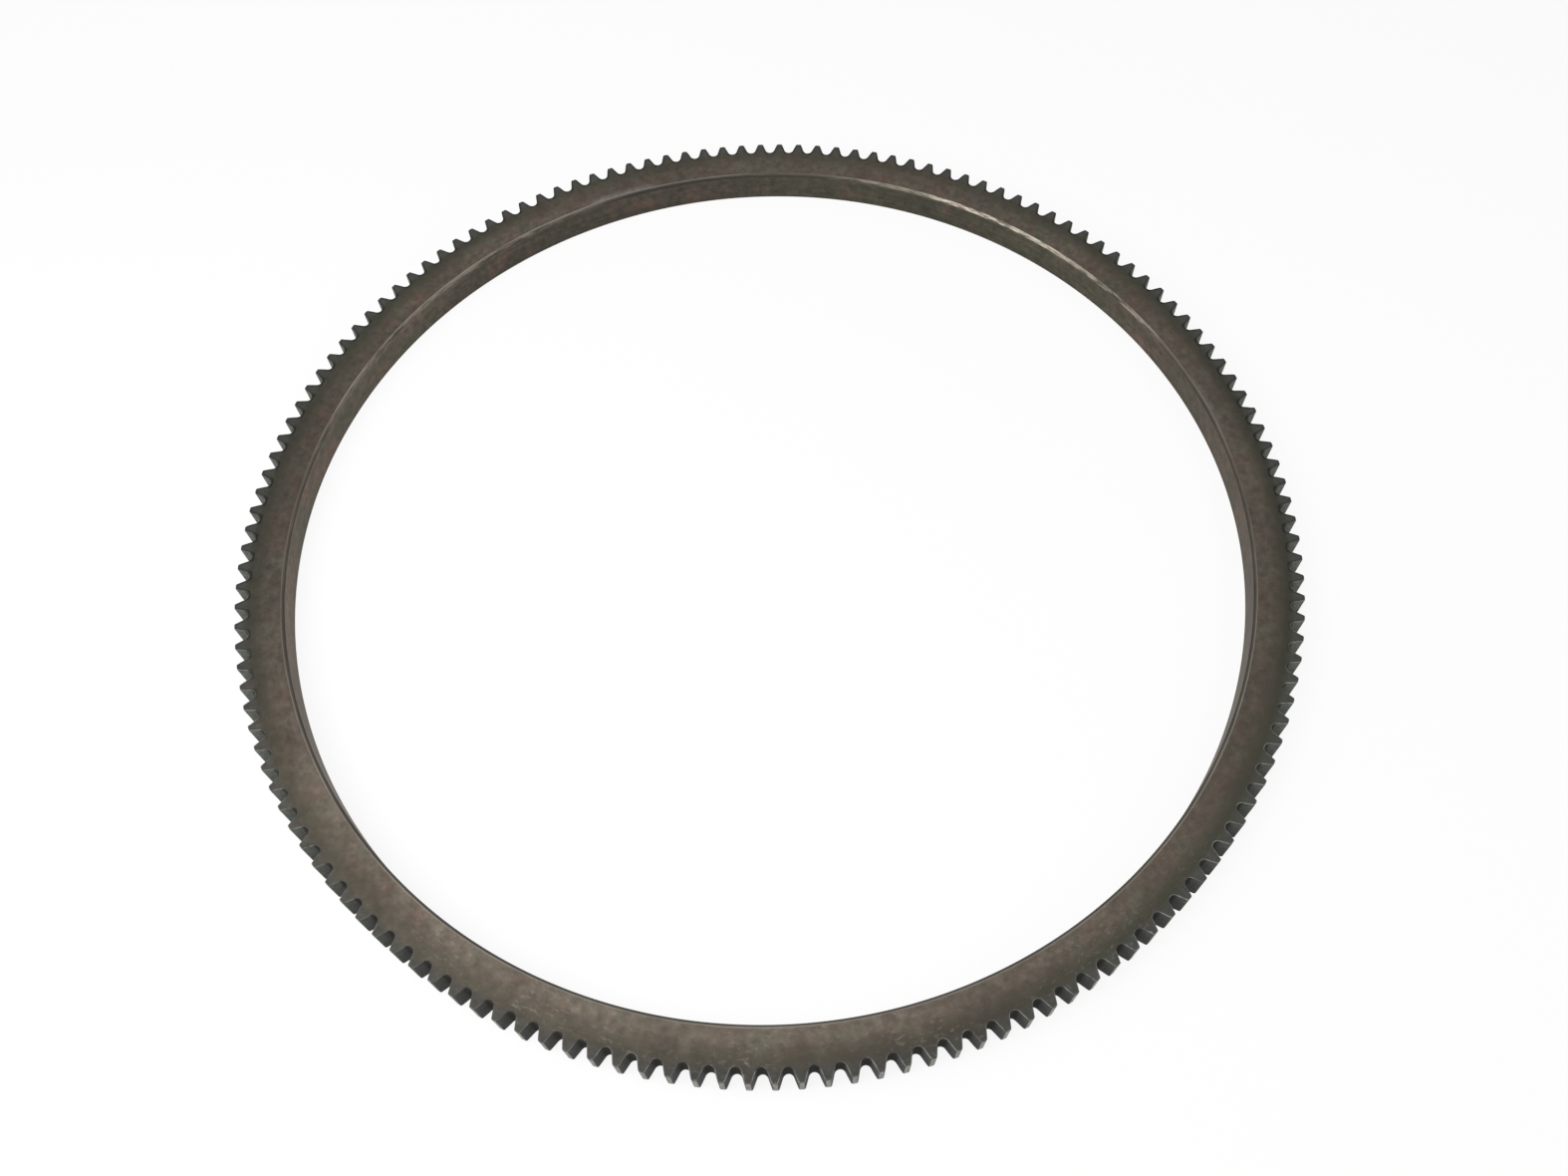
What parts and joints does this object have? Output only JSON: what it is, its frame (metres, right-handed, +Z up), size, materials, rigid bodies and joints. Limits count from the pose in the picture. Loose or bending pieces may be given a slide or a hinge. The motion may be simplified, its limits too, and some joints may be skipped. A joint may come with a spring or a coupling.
{
  "type": "flywheel ring gear",
  "caption": "Steel starter ring gear, a plain flat rim with straight stub teeth around its outside and a plain bore that is shrunk onto a flywheel.",
  "frame": {"origin": "centre of the bore, on the lower face that the ring lies on", "axes": "+Z up along the axis of the bore, +X through the middle of a tooth"},
  "size_m": [0.3802, 0.3802, 0.0127],
  "materials": {
    "hardened_steel": "turned steel with a dull brown oxide film, teeth dark from hardening"
  },
  "bodies": {
    "root": {"ring_gear": "hardened_steel"}
  },
  "joints": []
}
